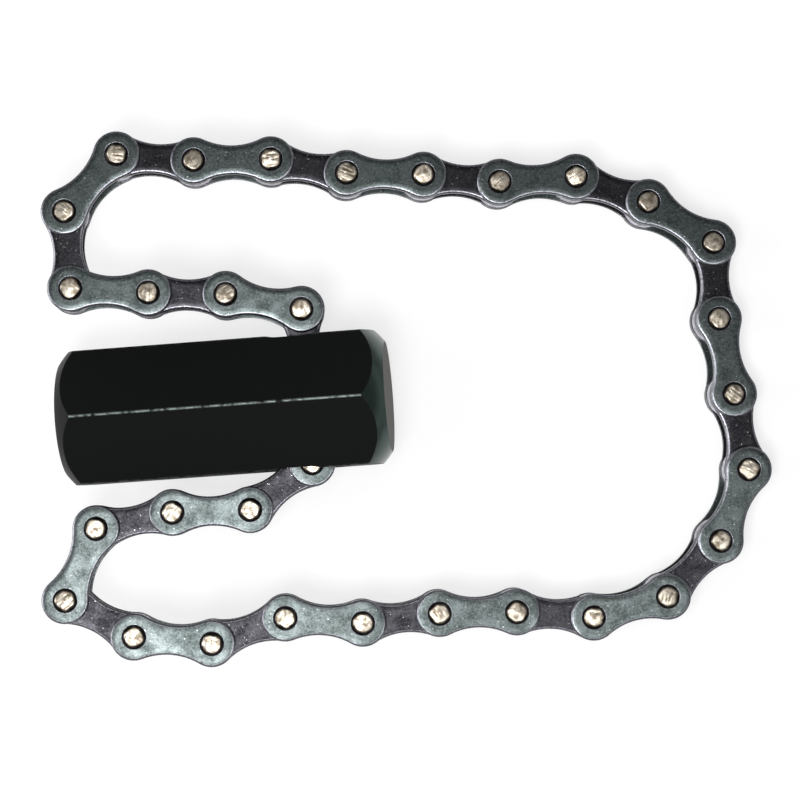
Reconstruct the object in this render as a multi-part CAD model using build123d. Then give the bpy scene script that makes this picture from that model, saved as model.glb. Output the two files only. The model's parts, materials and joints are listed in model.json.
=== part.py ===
from build123d import *

import math
import os

# Chain oil filter wrench: a hexagonal drive bar with an endless roller chain threaded through a slot across
# it. The origin is the centre of the drive socket's mouth, +X runs along the bar to its chain end, and +Z is
# up while the wrench lies on its lower corner. Lengths are in millimetres and angles in degrees.

# Roller chain of half inch pitch
PITCH = 12.7
PLATE_END_RADIUS = 3.85
PLATE_WAIST = 4.8
PLATE_THICKNESS = 1.0
INNER_WIDTH = 3.3
PLATE_GAP = 0.15
PIN_DIAMETER = 3.65
PIN_PROJECTION = 0.5
PIN_HEAD_BEVEL = 0.25
PIN_CLEARANCE = 0.06
BUSHING_WALL = 0.7
ROLLER_DIAMETER = 7.5
ROLLER_CLEARANCE = 0.06
ROLLER_END_CLEARANCE = 0.1

# Hexagonal drive bar
BAR_ACROSS_FLATS = 22.0
BAR_LENGTH = 54.0
BAR_CORNER_ROUNDING = 0.3
DRIVE_CHAMFER_DEPTH = 3.0
DRIVE_CHAMFER_ANGLE = 45.0
CHAIN_CHAMFER_DEPTH = 3.5
CHAIN_CHAMFER_ANGLE = 45.0
CHAMFER_CROWN_RADIUS = 16.0

# Square drive socket
SQUARE_DRIVE = 12.7
SQUARE_CLEARANCE = 0.15
SQUARE_CORNER_RADIUS = 0.5
SQUARE_DEPTH = 18.0
PILOT_OVERSIZE = 0.5
PILOT_RUNOUT = 2.5
DRILL_POINT_ANGLE = 118.0
DETENT_DISTANCE = 7.9
DETENT_WIDTH = 4.2
DETENT_DEPTH = 0.9
MOUTH_ROUNDING = 1.2

# Slot across the bar and the chain's place in it
CHAIN_TO_BAR_END = 13.5
LINK_ABOVE_FLAT = 0.4
SLOT_CLEARANCE = 0.7
SLOT_MOUTH_CHAMFER = 0.5

# Lie of the chain: the angle of each link in the loop's own plane, from the pin above the bar round to the
# last link but one before the slot. None marks the two links whose angles close the loop. The link that
# enters the slot rises to it from the run below the bar.
LINK_ANGLES = [
    165, 175, 173, 91, 44, -8, -3, -14, -5, -9, 0, -23, -36, -90, -83,
    None, -116, -138, None, -188, -183, -177, -188, -165, -189, -212, -297, -352, -362,
]
RUN_BELOW_FLAT = 6.07

# Places across the chain, measured from its middle plane
inner_plate_face = INNER_WIDTH / 2
outer_plate_face = inner_plate_face + PLATE_THICKNESS + PLATE_GAP
half_over_plates = outer_plate_face + PLATE_THICKNESS
half_pin_length = half_over_plates + PIN_PROJECTION

# Radii round a pin's axis
pin_radius = PIN_DIAMETER / 2
bushing_bore_radius = pin_radius + PIN_CLEARANCE
bushing_radius = bushing_bore_radius + BUSHING_WALL
roller_bore_radius = bushing_radius + ROLLER_CLEARANCE

# Bar sizes that follow from its hexagon
flat_height = BAR_ACROSS_FLATS / 2
corner_radius = (flat_height - BAR_CORNER_ROUNDING) / math.cos(math.radians(30)) + BAR_CORNER_ROUNDING

# Chain's line through the slot: the link that leaves upwards just clears the flat
chain_x = BAR_LENGTH - CHAIN_TO_BAR_END
upper_pin_y = flat_height + LINK_ABOVE_FLAT + PLATE_END_RADIUS
slot_pin_y = upper_pin_y - PITCH
lower_pin_y = slot_pin_y - PITCH
entry_angle = math.degrees(math.asin((flat_height + RUN_BELOW_FLAT + lower_pin_y) / PITCH))


def step(angle):
    """One pitch in the loop's plane."""
    return Vector(PITCH * math.cos(math.radians(angle)), PITCH * math.sin(math.radians(angle)))


def link_angles():
    """The angles of all the links from the upper pin, with the two open ones set so that the loop closes."""
    angles = LINK_ANGLES + [entry_angle]
    gap = Vector(chain_x, lower_pin_y) - Vector(chain_x, upper_pin_y)
    for angle in angles:
        if angle is not None:
            gap -= step(angle)
    middle = math.degrees(math.atan2(gap.Y, gap.X))
    spread = math.degrees(math.acos(gap.length / (2 * PITCH)))
    closing = [middle + spread, middle - spread]
    closed = [closing.pop(0) if angle is None else angle for angle in angles]
    return closed + [90.0, 90.0]


def pin_places(angles):
    """Pin centres in the loop's plane, from the upper pin round to the one hidden in the slot."""
    places = [Vector(chain_x, upper_pin_y)]
    for angle in angles[:-1]:
        places.append(places[-1] + step(angle))
    return places


def lie_angle(places):
    """How far the loop leans about the slot until its far pins rest level with the bar's lowest corner."""
    reach = max(place.X for place in places) - chain_x + pin_radius - PIN_HEAD_BEVEL
    radius = math.hypot(reach, half_pin_length)
    return math.degrees(math.asin(corner_radius / radius) - math.atan2(half_pin_length, reach))


# Link plates, pins, bushings and rollers, drawn with the first pin at the origin and the second one at +X
def plate(hole_radius):
    """A figure-8 link plate: two round ends joined by hollow sides that run into them smoothly."""
    half = PITCH / 2
    waist = PLATE_WAIST / 2
    side_radius = (half**2 + waist**2 - PLATE_END_RADIUS**2) / (2 * (PLATE_END_RADIUS - waist))
    share = PLATE_END_RADIUS / (PLATE_END_RADIUS + side_radius)
    join_x = share * half
    join_y = share * (waist + side_radius)
    far_x = PITCH - join_x
    left_end = ThreePointArc((join_x, -join_y), (-PLATE_END_RADIUS, 0), (join_x, join_y))
    upper_side = ThreePointArc((join_x, join_y), (half, waist), (far_x, join_y))
    right_end = ThreePointArc((far_x, join_y), (PITCH + PLATE_END_RADIUS, 0), (far_x, -join_y))
    lower_side = ThreePointArc((far_x, -join_y), (half, -waist), (join_x, -join_y))
    outline = make_face([left_end, upper_side, right_end, lower_side])
    return extrude(outline - at_both_pins(Circle(hole_radius)), PLATE_THICKNESS)


def at_both_pins(shape):
    return [Pos(0, 0, 0) * shape, Pos(PITCH, 0, 0) * shape]


def both_plates(hole_radius, face):
    """Two like plates, one each side of the chain, whose inner faces lie this far from its middle."""
    return [Pos(0, 0, face) * plate(hole_radius), Pos(0, 0, -face - PLATE_THICKNESS) * plate(hole_radius)]


def rivet_pin():
    body = Cylinder(pin_radius, 2 * half_pin_length)
    return chamfer(body.edges().filter_by(GeomType.CIRCLE), PIN_HEAD_BEVEL)


def bushing():
    length = INNER_WIDTH + 2 * PLATE_THICKNESS
    return Cylinder(bushing_radius, length) - Cylinder(bushing_bore_radius, length)


def roller():
    length = INNER_WIDTH - 2 * ROLLER_END_CLEARANCE
    return Cylinder(ROLLER_DIAMETER / 2, length) - Cylinder(roller_bore_radius, length)


# Drive bar
def turned_outline():
    """The round form that trims the hexagon's corners at both ends, with slightly crowned chamfers."""
    drive_radius = corner_radius - DRIVE_CHAMFER_DEPTH / math.tan(math.radians(DRIVE_CHAMFER_ANGLE))
    chain_radius = corner_radius - CHAIN_CHAMFER_DEPTH / math.tan(math.radians(CHAIN_CHAMFER_ANGLE))
    corners_end = BAR_LENGTH - CHAIN_CHAMFER_DEPTH
    drive_face = Line((0, 0), (0, drive_radius))
    drive_chamfer = RadiusArc((0, drive_radius), (DRIVE_CHAMFER_DEPTH, corner_radius), CHAMFER_CROWN_RADIUS)
    corners = Line((DRIVE_CHAMFER_DEPTH, corner_radius), (corners_end, corner_radius))
    chain_chamfer = RadiusArc((corners_end, corner_radius), (BAR_LENGTH, chain_radius), CHAMFER_CROWN_RADIUS)
    chain_face = Polyline((BAR_LENGTH, chain_radius), (BAR_LENGTH, 0), (0, 0))
    outline = [drive_face, drive_chamfer, corners, chain_chamfer, chain_face]
    return revolve(make_face(outline), Axis.X, 360)


def along_bar(shape):
    """Turns a shape drawn along +Z so that it runs along the bar from the drive end."""
    return Rot(0, 90, 0) * shape


def lead_in(bore_radius):
    """What the rounded mouth of a round bore takes away, on the bore's own axis."""
    edge_radius = bore_radius + MOUTH_ROUNDING
    rounding = RadiusArc((edge_radius, 0), (bore_radius, MOUTH_ROUNDING), -MOUTH_ROUNDING)
    inside = Polyline((bore_radius, MOUTH_ROUNDING), (0, MOUTH_ROUNDING), (0, 0), (edge_radius, 0))
    return revolve(Plane.XZ * make_face([rounding, inside]), Axis.Z, 360)


def drive_socket():
    """The square broached after a pilot drill, with a groove for the driver's detent ball and a lead-in."""
    side = SQUARE_DRIVE + SQUARE_CLEARANCE
    pilot_radius = (side + PILOT_OVERSIZE) / 2
    pilot_depth = SQUARE_DEPTH + PILOT_RUNOUT
    point_length = pilot_radius / math.tan(math.radians(DRILL_POINT_ANGLE / 2))
    square = extrude(RectangleRounded(side, side, SQUARE_CORNER_RADIUS), SQUARE_DEPTH)
    pilot = Pos(0, 0, pilot_depth / 2) * Cylinder(pilot_radius, pilot_depth)
    point = Pos(0, 0, pilot_depth + point_length / 2) * Cone(pilot_radius, 0, point_length)
    groove = Pos(0, 0, DETENT_DISTANCE) * Cylinder(side / 2 + DETENT_DEPTH, DETENT_WIDTH)
    return along_bar(square + pilot + point + groove + lead_in(pilot_radius))


def chain_slot():
    """The milled slot. The chain lies in its one round end, where it can turn right round on its own line.
    The slot runs on towards the drive end for the link that leaves the lower mouth aslant."""
    turning_radius = math.hypot(half_over_plates, PLATE_END_RADIUS)
    end_radius = turning_radius + SLOT_CLEARANCE
    slant = math.radians(entry_angle)
    plate_half_width = inner_plate_face + PLATE_THICKNESS
    run_out = (flat_height + lower_pin_y) / math.tan(slant) + PLATE_END_RADIUS / math.sin(slant)
    corner_loss = end_radius - math.sqrt(end_radius**2 - plate_half_width**2)
    run = run_out + SLOT_CLEARANCE + corner_loss - end_radius
    section = Plane.XZ * (Pos(chain_x - run / 2, 0) * SlotCenterToCenter(run, 2 * end_radius))
    return extrude(section, 2 * flat_height, both=True)


def drive_bar():
    sharp_hexagon = RegularPolygon(flat_height, 6, major_radius=False)
    hexagon = fillet(sharp_hexagon.vertices(), BAR_CORNER_ROUNDING)
    slotted = along_bar(extrude(hexagon, BAR_LENGTH)) - chain_slot()
    mouth_wires = [wire for flat in slotted.faces().filter_by(Axis.Y) for wire in flat.inner_wires()]
    mouths = [edge for wire in mouth_wires for edge in wire.edges()]
    return (chamfer(mouths, SLOT_MOUTH_CHAMFER) & turned_outline()) - drive_socket()


# Assembly
def write(name, pieces):
    """Writes the solids of one node."""
    solids = [solid for piece in pieces for solid in piece.solids()]
    shape = solids[0] if len(solids) == 1 else Compound(children=solids)
    shape.label = name
    export_step(shape, f"parts/{name}.step")


def write_chain(angles):
    """Odd links are outer ones with two rivet pins, even ones inner with two bushings and two rollers."""
    places = pin_places(angles)
    loop = Pos(chain_x, 0, 0) * Rot(0, lie_angle(places), 0) * Pos(-chain_x, 0, 0)
    outer_plates = both_plates(pin_radius, outer_plate_face)
    pins = at_both_pins(rivet_pin())
    inner_link = both_plates(bushing_radius, inner_plate_face)
    inner_link += at_both_pins(bushing()) + at_both_pins(roller())
    for index, (place, angle) in enumerate(zip(places, angles)):
        number = index + 1
        spot = loop * Pos(place.X, place.Y, 0) * Rot(0, 0, angle)
        if number % 2:
            write(f"outer_plates_{number:02d}", [spot * piece for piece in outer_plates])
            write(f"rivet_pins_{number:02d}", [spot * piece for piece in pins])
        else:
            write(f"inner_link_{number:02d}", [spot * piece for piece in inner_link])


os.makedirs("parts", exist_ok=True)
write("drive_bar", [drive_bar()])
write_chain(link_angles())
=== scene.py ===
import json
import math
import random

import bmesh
import bpy
from mathutils import Matrix, Vector, noise
from mathutils.geometry import tessellate_polygon


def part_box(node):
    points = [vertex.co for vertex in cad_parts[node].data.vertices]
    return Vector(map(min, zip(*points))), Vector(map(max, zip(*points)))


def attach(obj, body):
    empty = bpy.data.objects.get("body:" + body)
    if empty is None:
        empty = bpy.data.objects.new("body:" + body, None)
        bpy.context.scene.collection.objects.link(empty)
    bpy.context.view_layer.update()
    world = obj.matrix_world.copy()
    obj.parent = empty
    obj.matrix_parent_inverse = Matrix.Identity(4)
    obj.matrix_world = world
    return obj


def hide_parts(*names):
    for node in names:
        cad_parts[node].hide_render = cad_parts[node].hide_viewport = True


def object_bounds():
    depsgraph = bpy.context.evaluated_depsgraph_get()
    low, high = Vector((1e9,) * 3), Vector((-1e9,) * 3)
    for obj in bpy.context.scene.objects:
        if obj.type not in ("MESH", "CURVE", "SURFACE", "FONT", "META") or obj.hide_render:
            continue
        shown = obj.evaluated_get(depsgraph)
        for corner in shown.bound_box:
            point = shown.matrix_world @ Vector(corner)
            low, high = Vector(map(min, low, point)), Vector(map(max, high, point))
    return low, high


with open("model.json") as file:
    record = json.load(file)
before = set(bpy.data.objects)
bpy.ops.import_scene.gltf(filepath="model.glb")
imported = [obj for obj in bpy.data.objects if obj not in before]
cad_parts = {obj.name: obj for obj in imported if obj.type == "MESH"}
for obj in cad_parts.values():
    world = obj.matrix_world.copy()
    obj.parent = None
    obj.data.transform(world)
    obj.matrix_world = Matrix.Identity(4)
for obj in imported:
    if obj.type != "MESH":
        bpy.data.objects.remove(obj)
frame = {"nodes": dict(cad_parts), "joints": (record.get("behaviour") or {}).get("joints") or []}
cad_low, cad_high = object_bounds()
MM = 0.001


# How the chain lies
# A half inch roller chain joined into an endless loop. It hangs from the slot through the bar and leans down from
# there to the table, so every link lies in one leaning plane, square to its pins.
PITCH = 12.7 * MM
LINKS = 32
joints = {joint["name"]: joint for joint in frame["joints"]}
across_chain = Vector(joints["pivot_01"]["axis"])
pins_low, pins_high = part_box("rivet_pins_15")
pin_places = {}
for number in range(1, LINKS + 1):
    if f"pivot_{number:02d}" in joints:
        pin_places[number] = Vector(joints[f"pivot_{number:02d}"]["pos_m"])
pin_places[16] = pins_low + pins_high - pin_places[15]


def place_of_link(number):
    """Puts a link drawn along +X, with its first pin at the origin, where it lies in the loop."""
    start = pin_places[number]
    end = pin_places[number % LINKS + 1]
    along = (end - start).normalized()
    turned = Matrix((along, across_chain.cross(along), across_chain)).transposed().to_4x4()
    return Matrix.Translation(start) @ turned


# Outer link plates
# Figure-8 plates blanked from 1 mm carbon steel strip. The punch dishes them slightly, rolls their outer edge over
# and leaves the inner one sharper. They are hardened, tumbled and blued, and pressed on to the pins in pairs.
PLATE_END_RADIUS = 3.85 * MM
PLATE_WAIST = 4.8 * MM
PLATE_THICKNESS = 1.0 * MM
OUTER_PLATE_FACE = 2.8 * MM
ROLLED_EDGE = 0.35 * MM
SHARP_EDGE = 0.08 * MM
PIN_RADIUS = 1.825 * MM
HOLE_BEVEL = 0.2 * MM
END_STEPS = 30
SIDE_STEPS = 12
EDGE_STEPS = 4
EDGE_WEAR = (0.2, 0.5, 0.9, 1, 0.7)
WALL_WEAR = 0.2
FLAT_MARGIN = 0.05 * MM
DISH_WIDTH = 1.1 * MM
DISH_DEPTH = 0.06 * MM


def arc(centre, radius, first, last, steps):
    """Points along an arc, without its last one."""
    points = []
    for index in range(steps):
        angle = first + (last - first) * index / steps
        points.append((centre[0] + radius * math.cos(angle), centre[1] + radius * math.sin(angle)))
    return points


def plate_outline(inset):
    """Two round ends joined by hollow sides, drawn this far inside the plate's edge."""
    half = PITCH / 2
    waist = PLATE_WAIST / 2
    side_radius = (half**2 + waist**2 - PLATE_END_RADIUS**2) / (2 * (PLATE_END_RADIUS - waist))
    side_y = waist + side_radius
    join = math.atan2(side_y, half)
    end = PLATE_END_RADIUS - inset
    side = side_radius + inset
    outline = arc((PITCH, 0), end, join - math.pi, math.pi - join, END_STEPS)
    outline += arc((half, side_y), side, -join, join - math.pi, SIDE_STEPS)
    outline += arc((0, 0), end, join, 2 * math.pi - join, END_STEPS)
    outline += arc((half, -side_y), side, math.pi - join, join, SIDE_STEPS)
    return outline


def circle(centre_x, radius):
    return arc((centre_x, 0), radius, 0, 2 * math.pi, END_STEPS)


def rounding(edge, height, inwards):
    """The steps of a quarter-round edge as (inset, height), from the side of the piece to its face."""
    steps = []
    for index in range(EDGE_STEPS + 1):
        angle = math.pi / 2 * index / EDGE_STEPS
        steps.append((edge * (1 - math.cos(angle)), height - inwards * edge * (1 - math.sin(angle))))
    return steps


def wall(bm, rings):
    """Joins rings of as many points into a wall of quads."""
    for lower, upper in zip(rings, rings[1:]):
        for index in range(len(lower)):
            after = (index + 1) % len(lower)
            bm.faces.new((lower[index], lower[after], upper[after], upper[index]))


def ring(bm, points, height, worn=0):
    """A ring of points at one height. Worn says how bare the steel is there, from 0 to 1."""
    layer = bm.verts.layers.float.get("worn") or bm.verts.layers.float.new("worn")
    verts = [bm.verts.new((x, y, height)) for x, y in points]
    for vert in verts:
        vert[layer] = worn
    return verts


def flat_with_holes(bm, loops, upwards):
    """Fills the flat between an outline and the holes in it."""
    verts = [vert for loop in loops for vert in loop]
    for corners in tessellate_polygon([[vert.co for vert in loop] for loop in loops]):
        face = bm.faces.new([verts[corner] for corner in corners])
        if (face.normal_update() or face.normal.z > 0) != upwards:
            face.normal_flip()


def add_plate(bm, face, outward, hole_radius):
    """One plate whose inner side lies at this height. Outward is 1 above the chain's middle and -1 below it."""
    inner = outward * face
    outer = outward * (face + PLATE_THICKNESS)
    outer_steps = rounding(ROLLED_EDGE, outer - outward * DISH_DEPTH, outward)
    inner_steps = rounding(SHARP_EDGE, inner, -outward)
    edge = [ring(bm, plate_outline(SHARP_EDGE + FLAT_MARGIN), inner)]
    edge += [ring(bm, plate_outline(inset), height, WALL_WEAR) for inset, height in inner_steps[::-1]]
    for (inset, height), worn in zip(outer_steps, EDGE_WEAR):
        edge.append(ring(bm, plate_outline(inset), height, worn))
    for share in (0.1, 0.45, 0.8, 1, 1.05):
        inset = ROLLED_EDGE + share * (DISH_WIDTH - ROLLED_EDGE)
        edge.append(ring(bm, plate_outline(inset), outer - outward * DISH_DEPTH * max(0, 1 - share) ** 2))
    holes = []
    for pin_x in (0, PITCH):
        bevelled = hole_radius + HOLE_BEVEL
        hole = [ring(bm, circle(pin_x, bevelled + FLAT_MARGIN), inner)]
        hole.append(ring(bm, circle(pin_x, bevelled), inner))
        hole.append(ring(bm, circle(pin_x, hole_radius), inner + outward * HOLE_BEVEL))
        hole.append(ring(bm, circle(pin_x, hole_radius), outer - outward * HOLE_BEVEL, 1))
        hole.append(ring(bm, circle(pin_x, bevelled), outer, 1))
        hole.append(ring(bm, circle(pin_x, bevelled + FLAT_MARGIN), outer))
        holes.append(hole)
    for rings in [edge] + holes:
        wall(bm, rings)
    flat_with_holes(bm, [edge[-1], holes[0][-1], holes[1][-1]], outward > 0)
    flat_with_holes(bm, [edge[0], holes[0][0], holes[1][0]], outward < 0)


def plates_mesh(name, face, hole_radius):
    bm = bmesh.new()
    for outward in (1, -1):
        add_plate(bm, face, outward, hole_radius)
    bmesh.ops.recalc_face_normals(bm, faces=bm.faces)
    mesh = bpy.data.meshes.new(name)
    bm.to_mesh(mesh)
    bm.free()
    mesh.shade_smooth()
    return mesh


def add_piece(name, mesh, material, body):
    """Puts a finished mesh in the scene as a piece that moves with a body."""
    piece = bpy.data.objects.new(name, mesh)
    bpy.context.scene.collection.objects.link(piece)
    mesh.materials.append(material)
    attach(piece, body)
    return piece


def add(tree, kind, inputs=None, **settings):
    """Adds a node. Its inputs are given by name or number, as values or as other nodes' outputs."""
    node = tree.nodes.new(kind)
    for name, value in settings.items():
        setattr(node, name, value)
    for name, value in (inputs or {}).items():
        if isinstance(value, bpy.types.NodeSocket):
            tree.links.new(value, node.inputs[name])
        else:
            node.inputs[name].default_value = value
    return node


def linear(colour):
    """An sRGB hex colour as linear red, green, blue and alpha."""
    parts = []
    for start in (0, 2, 4):
        part = int(colour[start:start + 2], 16) / 255
        parts.append(part / 12.92 if part <= 0.04045 else ((part + 0.055) / 1.055) ** 2.4)
    return (*parts, 1)


def new_material(name, metallic):
    """A material with its Principled shader, and the coordinates that stay with the piece."""
    material = bpy.data.materials.new(name)
    material.use_nodes = True
    tree = material.node_tree
    shader = tree.nodes["Principled BSDF"]
    shader.inputs["Metallic"].default_value = metallic
    place = add(tree, "ShaderNodeTexCoord").outputs["Object"]
    return material, tree, shader, place


def blued_steel(name, dark, light, speck, bare):
    """Blued and oiled strip: a nearly black oxide with a fine grain and lighter blotches, specks where tumbling wore
    it through, and bare steel on the edges."""
    material, tree, shader, place = new_material(name, 1)
    blotches = add(tree, "ShaderNodeTexNoise", {"Vector": place, "Scale": 1 / (2.5 * MM), "Detail": 4}).outputs["Fac"]
    grain = add(tree, "ShaderNodeTexNoise", {"Vector": place, "Scale": 1 / (0.35 * MM), "Detail": 2}).outputs["Fac"]
    both = add(tree, "ShaderNodeMath", {0: blotches, 1: grain}).outputs[0]
    amount = add(tree, "ShaderNodeMapRange", {"Value": both, 1: 0.75, 2: 1.25}).outputs[0]
    oxide = add(tree, "ShaderNodeMix", {0: amount, 6: linear(dark), 7: linear(light)}, data_type="RGBA").outputs[2]
    grit = add(tree, "ShaderNodeTexNoise", {"Vector": place, "Scale": 1 / (0.3 * MM), "Detail": 1}).outputs["Fac"]
    specks = add(tree, "ShaderNodeMapRange", {"Value": grit, 1: 0.72, 2: 0.8}).outputs[0]
    spotted = add(tree, "ShaderNodeMix", {0: specks, 6: oxide, 7: linear(speck)}, data_type="RGBA").outputs[2]
    edge = add(tree, "ShaderNodeAttribute", attribute_name="worn").outputs["Fac"]
    patchy = add(tree, "ShaderNodeMapRange", {"Value": grain, 1: 0.3, 2: 0.55, 3: 0.3, 4: 1}).outputs[0]
    wear = add(tree, "ShaderNodeMath", {0: edge, 1: patchy}, operation="MULTIPLY").outputs[0]
    colour = add(tree, "ShaderNodeMix", {0: wear, 6: spotted, 7: linear(bare)}, data_type="RGBA").outputs[2]
    tree.links.new(colour, shader.inputs["Base Color"])
    rough = add(tree, "ShaderNodeMapRange", {"Value": blotches, 1: 0.3, 2: 0.7, 3: 0.38, 4: 0.28}).outputs[0]
    tree.links.new(rough, shader.inputs["Roughness"])
    bump = add(tree, "ShaderNodeBump", {"Height": grain, "Strength": 0.3, "Distance": 0.03 * MM}).outputs[0]
    tree.links.new(bump, shader.inputs["Normal"])
    return material


outer_steel = blued_steel("blued_tumbled_steel", "2e3433", "535959", "a9adab", "87878f")
outer_plates = plates_mesh("outer_plates", OUTER_PLATE_FACE, PIN_RADIUS)
for number in range(1, LINKS + 1, 2):
    mesh = outer_plates.copy()
    mesh.transform(place_of_link(number))
    plates = add_piece(f"outer_link_{number:02d}.plates", mesh, outer_steel, f"link_{number:02d}")
    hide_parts(f"outer_plates_{number:02d}")


# Rivet pins
# Hardened steel pins pressed into the outer plates, with both ends staked over. The staking punch leaves a rough
# bright land on each end, four-sided and a little tilted, and no two come out alike. The rim round the land is
# painted dark brown: painted shade in the gap round it, with oil.
HALF_PIN_LENGTH = 4.3 * MM
LAND_RADIUS = 1.48 * MM
LAND_SQUARENESS = 0.03
LAND_TILT = 0.07
FLANK_SLOPE = 1.3
FLANK_DROP = 0.4 * MM
STREAK_WIDTH = 0.32 * MM
STREAK_LENGTH = 1.6 * MM
STREAK_DEPTH = 0.1 * MM
PIN_RINGS = 13
PIN_STEPS = 40
random.seed(31)


def add_pin_end(bm, pin_x, outward):
    """The staked end of a pin as rings round its middle. Returns the outermost ring."""
    worn = bm.verts.layers.float.get("worn") or bm.verts.layers.float.new("worn")
    seed = random.uniform(0, 90)
    turn = random.uniform(0, math.pi)
    tilt_x = random.uniform(-LAND_TILT, LAND_TILT)
    tilt_y = random.uniform(-LAND_TILT, LAND_TILT)
    rings = []
    for index in range(1, PIN_RINGS + 1):
        radius = PIN_RADIUS * index / PIN_RINGS
        verts = []
        for x, y in arc((0, 0), radius, 0, 2 * math.pi, PIN_STEPS):
            across = x * math.cos(turn) + y * math.sin(turn)
            along = y * math.cos(turn) - x * math.sin(turn)
            corner = math.cos(4 * math.atan2(along, across))
            ragged = noise.noise(Vector((x / MM, y / MM, seed)))
            land = LAND_RADIUS * (1 - LAND_SQUARENESS * corner + 0.15 * ragged)
            beyond = max(0, radius - land)
            streak = noise.noise(Vector((across / STREAK_WIDTH, along / STREAK_LENGTH, seed)))
            drop = min(FLANK_SLOPE * beyond, FLANK_DROP) + STREAK_DEPTH * max(0, streak)
            drop += tilt_x * x + tilt_y * y + LAND_TILT * radius
            vert = bm.verts.new((pin_x + x, y, outward * (HALF_PIN_LENGTH - drop)))
            # Worn is 1 on the land and falls to 0 down the flank, which takes the dark colour: painted shade in the gap
            # round the land, with oil.
            vert[worn] = 1 - min(1, beyond / (0.12 * MM))
            verts.append(vert)
        rings.append(verts)
    wall(bm, rings)
    middle = bm.verts.new((pin_x, 0, outward * HALF_PIN_LENGTH))
    middle[worn] = 1
    first = rings[0]
    for index in range(PIN_STEPS):
        bm.faces.new((middle, first[index], first[(index + 1) % PIN_STEPS]))
    return rings[-1]


def bare_steel(name, bright, stained, grime_and_shade):
    """Bare hardened steel: bright where it was struck or rubbed, with brownish stains, and painted shade with oil in
    the low places.
    """
    material, tree, shader, place = new_material(name, 1)
    stains = add(tree, "ShaderNodeTexNoise", {"Vector": place, "Scale": 1 / (0.9 * MM), "Detail": 3}).outputs["Fac"]
    amount = add(tree, "ShaderNodeMapRange", {"Value": stains, 1: 0.4, 2: 0.62}).outputs[0]
    steel = add(tree, "ShaderNodeMix", {0: amount, 6: linear(bright), 7: linear(stained)}, data_type="RGBA").outputs[2]
    rubbed = add(tree, "ShaderNodeAttribute", attribute_name="worn").outputs["Fac"]
    # Where worn is 0 the dark colour is painted shade with oil in the low places.
    colour = add(tree, "ShaderNodeMix", {0: rubbed, 6: linear(grime_and_shade), 7: steel}, data_type="RGBA").outputs[2]
    tree.links.new(colour, shader.inputs["Base Color"])
    rough = add(tree, "ShaderNodeMapRange", {"Value": stains, 1: 0.3, 2: 0.7, 3: 0.3, 4: 0.5}).outputs[0]
    tree.links.new(rough, shader.inputs["Roughness"])
    scratches = add(tree, "ShaderNodeTexNoise", {"Vector": place, "Scale": 1 / (0.25 * MM), "Detail": 2}).outputs["Fac"]
    bump = add(tree, "ShaderNodeBump", {"Height": scratches, "Strength": 0.4, "Distance": 0.04 * MM}).outputs[0]
    tree.links.new(bump, shader.inputs["Normal"])
    return material


pin_steel = bare_steel("staked_pin_steel", "b0a89b", "6f6659", "24201d")
for number in range(1, LINKS + 1, 2):
    bm = bmesh.new()
    for pin_x in (0, PITCH):
        upper = add_pin_end(bm, pin_x, 1)
        lower = add_pin_end(bm, pin_x, -1)
        wall(bm, [lower, upper])
    bmesh.ops.recalc_face_normals(bm, faces=bm.faces)
    mesh = bpy.data.meshes.new("rivet_pins")
    bm.to_mesh(mesh)
    bm.free()
    mesh.shade_smooth()
    mesh.transform(place_of_link(number))
    pins = add_piece(f"outer_link_{number:02d}.pins", mesh, pin_steel, f"link_{number:02d}")
    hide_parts(f"rivet_pins_{number:02d}")


# Inner links
# Two blued plates pressed on to two bushings, which are thin hardened tubes that turn on the pins. The bushings'
# ends finish flush with the plates, under the outer links.
INNER_PLATE_FACE = 1.65 * MM
BUSHING_RADIUS = 2.585 * MM
BUSHING_BORE = 1.885 * MM


def add_tube(bm, centre_x, bore, radius, half_length, edge, worn):
    """A tube across the chain whose outer edges are rounded."""
    upper = rounding(edge, half_length, 1)
    lower = rounding(edge, -half_length, -1)
    rings = [ring(bm, circle(centre_x, bore), height, worn) for height in (half_length, -half_length)]
    rings += [ring(bm, circle(centre_x, radius - inset), height, worn) for inset, height in lower[::-1] + upper]
    wall(bm, rings + rings[:1])


def tubes_mesh(name, bore, radius, half_length, edge, worn):
    bm = bmesh.new()
    for centre_x in (0, PITCH):
        add_tube(bm, centre_x, bore, radius, half_length, edge, worn)
    bmesh.ops.recalc_face_normals(bm, faces=bm.faces)
    mesh = bpy.data.meshes.new(name)
    bm.to_mesh(mesh)
    bm.free()
    mesh.shade_smooth()
    mesh.set_sharp_from_angle(angle=math.radians(40))
    return mesh


inner_steel = blued_steel("blued_inner_steel", "1a191c", "343437", "b4b4b6", "87878f")
inner_plates = plates_mesh("inner_plates", INNER_PLATE_FACE, BUSHING_RADIUS)
bushings = tubes_mesh("bushings", BUSHING_BORE, BUSHING_RADIUS, INNER_PLATE_FACE + PLATE_THICKNESS, 0.1 * MM, 0)
for number in range(2, LINKS + 1, 2):
    body = f"link_{number:02d}"
    for part, pattern in (("plates", inner_plates), ("bushings", bushings)):
        mesh = pattern.copy()
        mesh.transform(place_of_link(number))
        piece = add_piece(f"inner_{body}.{part}", mesh, inner_steel, body)
        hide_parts(f"inner_link_{number:02d}")


# Rollers
# Short tubes of bright hardened steel, loose on the bushings between the inner plates. Only their flanks show.
ROLLER_RADIUS = 3.75 * MM
ROLLER_BORE = 2.645 * MM
ROLLER_HALF_LENGTH = 1.55 * MM

roller_steel = bare_steel("bright_roller_steel", "c4c3ce", "8d8b96", "1c1a18")
rollers = tubes_mesh("rollers", ROLLER_BORE, ROLLER_RADIUS, ROLLER_HALF_LENGTH, 0.25 * MM, 1)
for number in range(2, LINKS + 1, 2):
    body = f"link_{number:02d}"
    mesh = rollers.copy()
    mesh.transform(place_of_link(number))
    piece = add_piece(f"inner_{body}.rollers", mesh, roller_steel, body)
    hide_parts(f"inner_link_{number:02d}")
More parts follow.
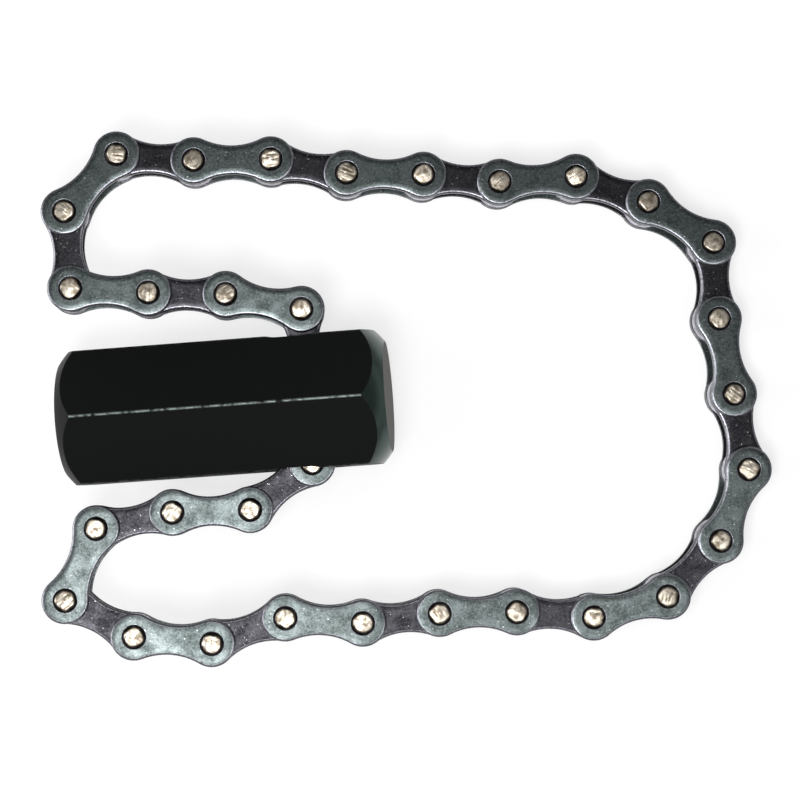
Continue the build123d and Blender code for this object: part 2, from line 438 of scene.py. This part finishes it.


# Drive bar
# Cold drawn hexagonal bar, 22 mm across its flats, cross-milled for the chain, turned at both ends and blacked.
# The oxide is worn along the corners, and the bare line is kept brightest on the top corner as a painted highlight
# over the wear. The oxide is thin on the turned chamfers, and the end face is a painted shadow: the dull
# brown-grey of the bar's shadow on the table.
BAR_LENGTH = 54 * MM
CORNER_RADIUS = 12.655 * MM
CHAIN_CHAMFER_DEPTH = 3.5 * MM


def black_oxide(name):
    """Blacked drawn bar: dull and nearly black, with faint draw lines, and bare steel along the worn corners, brightest
    along the top corner as a painted highlight.
    """
    material, tree, shader, place = new_material(name, 0)
    part = add(tree, "ShaderNodeSeparateXYZ", {0: place})
    y_squared = add(tree, "ShaderNodeMath", {0: part.outputs[1], 1: 2}, operation="POWER").outputs[0]
    z_squared = add(tree, "ShaderNodeMath", {0: part.outputs[2], 1: 2}, operation="POWER").outputs[0]
    squared = add(tree, "ShaderNodeMath", {0: y_squared, 1: z_squared}).outputs[0]
    radius = add(tree, "ShaderNodeMath", {0: squared, 1: 0.5}, operation="POWER").outputs[0]
    rubbed = {"Value": radius, 1: CORNER_RADIUS - 0.1 * MM, 2: CORNER_RADIUS - 0.02 * MM}
    corner = add(tree, "ShaderNodeMapRange", rubbed).outputs[0]
    chips = add(tree, "ShaderNodeTexNoise", {"Vector": place, "Scale": 1 / (1.2 * MM), "Detail": 5}).outputs["Fac"]
    broken = add(tree, "ShaderNodeMapRange", {"Value": chips, 1: 0.38, 2: 0.6}).outputs[0]
    # Full on the top corner and 0.2 on the others: wear, with a painted highlight on the top corner.
    top_wear_and_sheen = add(tree, "ShaderNodeMapRange", {"Value": part.outputs[2], 1: 8 * MM, 2: 11 * MM, 3: 0.2, 4: 1}).outputs[0]
    rubbed = add(tree, "ShaderNodeMath", {0: corner, 1: top_wear_and_sheen}, operation="MULTIPLY").outputs[0]
    wear = add(tree, "ShaderNodeMath", {0: rubbed, 1: broken}, operation="MULTIPLY").outputs[0]
    colours = {0: wear, 6: linear("060707"), 7: linear("727c78")}
    colour = add(tree, "ShaderNodeMix", colours, data_type="RGBA").outputs[2]
    tree.links.new(colour, shader.inputs["Base Color"])
    tree.links.new(wear, shader.inputs["Metallic"])
    shader.inputs["Roughness"].default_value = 0.5
    shader.inputs["Specular IOR Level"].default_value = 0.12
    drawn = add(tree, "ShaderNodeMapping", {"Vector": place, "Scale": (1 / (30 * MM), 1 / (0.3 * MM), 1 / (0.3 * MM))})
    lines = add(tree, "ShaderNodeTexNoise", {"Vector": drawn.outputs[0], "Scale": 1, "Detail": 3}).outputs["Fac"]
    bump = add(tree, "ShaderNodeBump", {"Height": lines, "Strength": 0.3, "Distance": 0.05 * MM}).outputs[0]
    tree.links.new(bump, shader.inputs["Normal"])
    return material


def turned_steel(name, fresh, dulled, metallic, roughness):
    """Steel faced and chamfered in a lathe: fine rings round the bar's axis, dulled in clouds by the fumes of the
    blacking. On the end face both colours are a painted shadow.
    """
    material, tree, shader, place = new_material(name, metallic)
    stretched = add(tree, "ShaderNodeMapping", {"Vector": place, "Scale": (1 / (0.25 * MM), 8, 8)}).outputs[0]
    rings = add(tree, "ShaderNodeTexNoise", {"Vector": stretched, "Scale": 1, "Detail": 3}).outputs["Fac"]
    cloud = add(tree, "ShaderNodeTexNoise", {"Vector": place, "Scale": 1 / (4 * MM), "Detail": 3}).outputs["Fac"]
    colours = {0: cloud, 6: linear(fresh), 7: linear(dulled)}
    colour = add(tree, "ShaderNodeMix", colours, data_type="RGBA").outputs[2]
    tree.links.new(colour, shader.inputs["Base Color"])
    shader.inputs["Roughness"].default_value = roughness
    bump = add(tree, "ShaderNodeBump", {"Height": rings, "Strength": 0.3, "Distance": 0.03 * MM}).outputs[0]
    tree.links.new(bump, shader.inputs["Normal"])
    return material


bar = frame["nodes"]["drive_bar"]
bar.data.materials.clear()
bar.data.materials.append(black_oxide("black_oxide_steel"))
bar.data.materials.append(turned_steel("thinly_blacked_steel", "42504c", "323d3a", 1, 0.25))
# The end face gets the dull brown-grey of the bar's shadow on the table: a painted shadow.
bar.data.materials.append(turned_steel("face_steel_painted_shadow", "3f3c34", "302e28", 0.1, 0.65))
for face in bar.data.polygons:
    if face.center.x > BAR_LENGTH - CHAIN_CHAMFER_DEPTH and face.normal.x > 0.2:
        face.material_index = 1
    if face.center.x > BAR_LENGTH - 0.01 * MM:
        face.material_index = 2


# Table, light and camera
# The wrench lies on a plain white table. One soft lamp hangs over its lower left, and weaker ones over its lower
# right, over the loop and far off to the left. The camera looks nearly straight down, from 400 mm above it.
CAMERA_PLACE = Vector((84.3, -18.2, 403.5)) * MM
CAMERA_TARGET = Vector((55.8, -0.75, 0)) * MM
CAMERA_ROLL = math.radians(-4.05)
CAMERA_LENS = 110.3
SENSOR_WIDTH = 36

table_mesh = bpy.data.meshes.new("table")
half_table = 2.0
corners = [(-half_table, -half_table), (half_table, -half_table), (half_table, half_table), (-half_table, half_table)]
table_mesh.from_pydata([(x, y, cad_low.z) for x, y in corners], [], [(0, 1, 2, 3)])
table = bpy.data.objects.new("table", table_mesh)
bpy.context.scene.collection.objects.link(table)
table_paint, tree, shader, place = new_material("white_table", 0)
shader.inputs["Base Color"].default_value = linear("f4f4f4")
shader.inputs["Roughness"].default_value = 0.9
shader.inputs["Specular IOR Level"].default_value = 0
seen = add(tree, "ShaderNodeLightPath").outputs["Is Camera Ray"]
share = add(tree, "ShaderNodeMath", {0: seen, 1: 0.7}, operation="MULTIPLY").outputs[0]
white = add(tree, "ShaderNodeEmission", {"Color": (1, 1, 1, 1), "Strength": 1.0}).outputs[0]
mixed = add(tree, "ShaderNodeMixShader", {0: share, 1: shader.outputs[0], 2: white}).outputs[0]
tree.links.new(mixed, tree.nodes["Material Output"].inputs["Surface"])
table_mesh.materials.append(table_paint)


def add_lamp(name, place, size, power):
    """A square soft lamp that faces the middle of the wrench."""
    lamp = bpy.data.lights.new(name, "AREA")
    lamp.size = size
    lamp.energy = power
    holder = bpy.data.objects.new(name, lamp)
    holder.location = place
    holder.rotation_euler = (CAMERA_TARGET - place).to_track_quat("-Z", "Y").to_euler()
    bpy.context.scene.collection.objects.link(holder)


add_lamp("main_lamp", Vector((0.02, -0.11, 0.45)), 0.12, 1.2)
add_lamp("low_lamp", Vector((0.24, -0.13, 0.45)), 0.12, 0.5)
add_lamp("loop_lamp", Vector((0.06, 0.00, 0.30)), 0.05, 0.15)
add_lamp("left_lamp", Vector((-0.60, 0.00, 0.35)), 0.50, 4)

world = bpy.data.worlds.new("studio")
bpy.context.scene.world = world
world.use_nodes = True
world.node_tree.nodes["Background"].inputs["Color"].default_value = (1, 1, 1, 1)
world.node_tree.nodes["Background"].inputs["Strength"].default_value = 0.3

camera = bpy.data.objects.new("camera", bpy.data.cameras.new("camera"))
camera.data.lens = CAMERA_LENS
camera.data.sensor_width = SENSOR_WIDTH
camera.location = CAMERA_PLACE
backwards = (CAMERA_PLACE - CAMERA_TARGET).normalized()
right = Vector((0, 1, 0)).cross(backwards).normalized()
level = Matrix((right, backwards.cross(right), backwards)).transposed()
camera.rotation_euler = (level @ Matrix.Rotation(CAMERA_ROLL, 3, "Z")).to_euler()
bpy.context.scene.collection.objects.link(camera)
bpy.context.scene.camera = camera
bpy.context.scene.view_settings.view_transform = "Standard"
